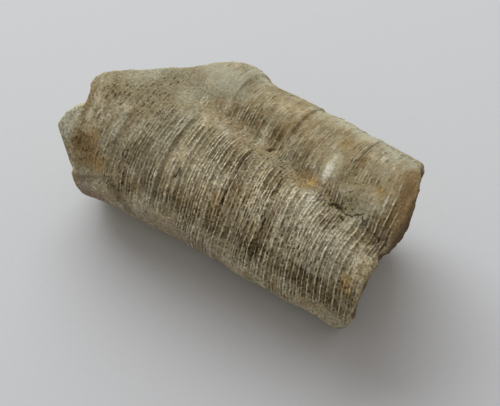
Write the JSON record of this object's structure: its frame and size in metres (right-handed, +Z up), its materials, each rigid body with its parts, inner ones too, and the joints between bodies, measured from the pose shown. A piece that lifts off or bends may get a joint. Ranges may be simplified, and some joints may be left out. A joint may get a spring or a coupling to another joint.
{
  "type": "crinoid fossil",
  "caption": "Broken length of ribbed crinoid fossil in limestone: side-by-side lobes under fine growth rings, a groove between them, rough broken ends and a flat underside to rest on.",
  "frame": {"origin": "on the ground, under the middle of the stone's box", "axes": "+X along the fossil's long axis towards the end where the lobes are parted furthest, -Y towards the front lobe, +Z up from the flat underside"},
  "size_m": [0.0518, 0.0266, 0.0229],
  "materials": {
    "limestone": "rough, dull grey-brown fossil limestone with pale ring crests, darker ring valleys and rust and ochre stains"
  },
  "bodies": {
    "root": {"fossil": "limestone"}
  },
  "joints": []
}
